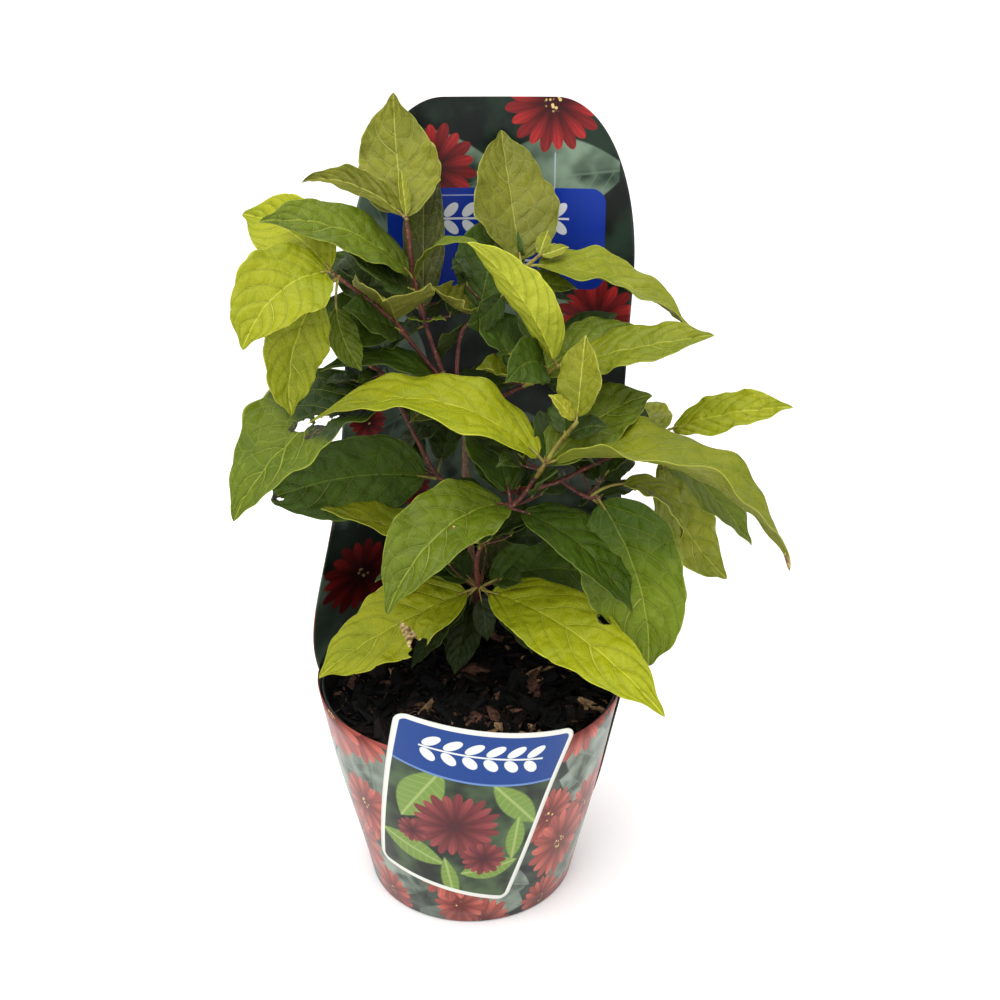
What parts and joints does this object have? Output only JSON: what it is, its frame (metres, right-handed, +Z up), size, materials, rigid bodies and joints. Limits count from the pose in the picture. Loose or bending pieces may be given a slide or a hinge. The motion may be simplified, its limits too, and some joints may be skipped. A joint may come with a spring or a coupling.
{
  "type": "potted shrub",
  "caption": "Young broad-leaved shrub with arching oval leaves in a filled nursery pot, with a printed wrap that rises behind it as a back board and a picture card on the front.",
  "frame": {"origin": "under the middle of the pot, on its flat underside", "axes": "+Z up; -Y is the front with the picture card; +X is to the right as seen from the front"},
  "size_m": [0.2928, 0.1772, 0.4406],
  "materials": {
    "pot": "black, matt to satin",
    "soil": "damp bark mix, matt",
    "wrap": "glossy printed sheet",
    "card": "glossy printed card",
    "stem": "light brown bark",
    "young_stem": "smooth red-brown young bark",
    "leaf": "soft satin green"
  },
  "bodies": {
    "root": {"pot": "pot", "soil": "soil", "wrap": "wrap", "picture_card": "card", "main_stem": "stem", "front_stem": "young_stem", "tall_bough": "young_stem", "left_bough": "young_stem", "right_bough": "young_stem", "mid_bough": "young_stem", "west_bough": "young_stem", "east_bough": "young_stem", "low_bough": "young_stem", "top_foliage": "leaf", "left_foliage": "leaf", "right_foliage": "leaf", "mid_foliage": "leaf", "front_foliage": "leaf", "centre_foliage": "leaf", "east_foliage": "leaf", "lower_right_foliage": "leaf", "foot_foliage": "leaf", "step_foliage": "leaf", "west_foliage": "leaf", "lower_left_foliage": "leaf", "heart_foliage": "leaf", "soil_foliage": "leaf"}
  },
  "joints": []
}
